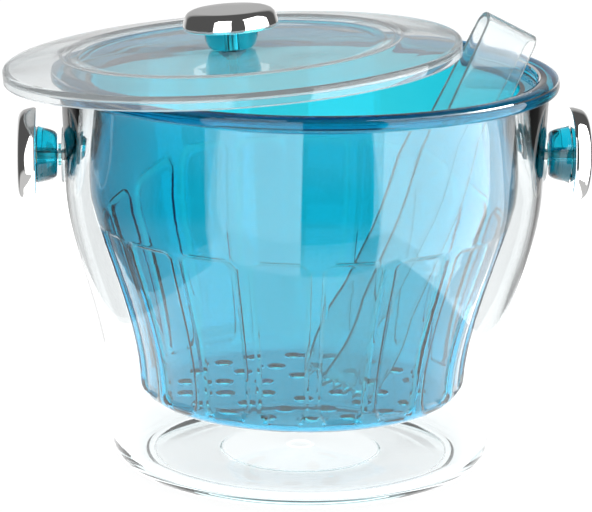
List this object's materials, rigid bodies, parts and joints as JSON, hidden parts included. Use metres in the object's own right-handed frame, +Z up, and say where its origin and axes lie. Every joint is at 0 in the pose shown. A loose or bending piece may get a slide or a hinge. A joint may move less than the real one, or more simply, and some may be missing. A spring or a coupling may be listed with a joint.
{
  "type": "ice bucket",
  "caption": "Clear waisted ice bucket with round side knobs, a blue fluted drain liner with a broad rim, a knobbed clear lid laid askew and clear tongs.",
  "frame": {"origin": "middle of the round pad under the base, on the surface the bucket stands on", "axes": "+Z up, X through the two side knobs with the tongs at +X, -Y towards the viewer"},
  "size_m": [0.2774, 0.24, 0.2216],
  "materials": {
    "clear_plastic": "clear, polished",
    "blue_plastic": "clear blue, polished",
    "chrome": "bright plated",
    "steel": "plain",
    "brass": "plain",
    "nylon": "satin"
  },
  "bodies": {
    "bucket": {"outer_bucket": "clear_plastic", "handle_right_gasket": "blue_plastic", "handle_right_neck": "blue_plastic", "handle_right_insert": "brass", "handle_right_cap": "chrome", "handle_right_washer": "nylon", "handle_right_screw": "steel", "handle_left_gasket": "blue_plastic", "handle_left_neck": "blue_plastic", "handle_left_insert": "brass", "handle_left_cap": "chrome", "handle_left_washer": "nylon", "handle_left_screw": "steel"},
    "liner": {"liner": "blue_plastic"},
    "tongs": {"tongs_bow": "clear_plastic"},
    "lid": {"lid_cover": "clear_plastic", "lid_knob_neck": "blue_plastic", "lid_knob_insert": "brass", "lid_knob_cap": "chrome", "lid_knob_washer": "nylon", "lid_knob_screw": "steel"},
    "tongs_front_arm": {"tongs_front_arm": "clear_plastic"},
    "tongs_back_arm": {"tongs_back_arm": "clear_plastic"}
  },
  "joints": [
    {"name": "liner_lift", "type": "slide", "parent": "bucket", "child": "liner", "axis": [0, 0, 1], "range_m": [0, 0.16]},
    {"name": "tongs_lift", "type": "slide", "parent": "liner", "child": "tongs", "axis": [0, 0, 1], "range_m": [0, 0.165]},
    {"name": "lid_lift", "type": "slide", "parent": "tongs", "child": "lid", "axis": [0, 0, 1], "range_m": [0, 0.1]},
    {"name": "front_arm_squeeze", "type": "hinge", "parent": "tongs", "child": "tongs_front_arm", "pos_m": [0.09219, -0.00838, 0.19989], "axis": [0.8498, 0.2679, -0.454], "range_deg": [0, 2.3], "stiffness_Nm_per_rad": 4},
    {"name": "back_arm_squeeze", "type": "hinge", "parent": "tongs", "child": "tongs_back_arm", "pos_m": [0.08886, 0.00221, 0.19989], "axis": [-0.8498, -0.2679, 0.454], "range_deg": [0, 2.3], "stiffness_Nm_per_rad": 4}
  ],
  "couplings": [
    {"joint": "back_arm_squeeze", "follows": "front_arm_squeeze", "ratio": 1}
  ]
}
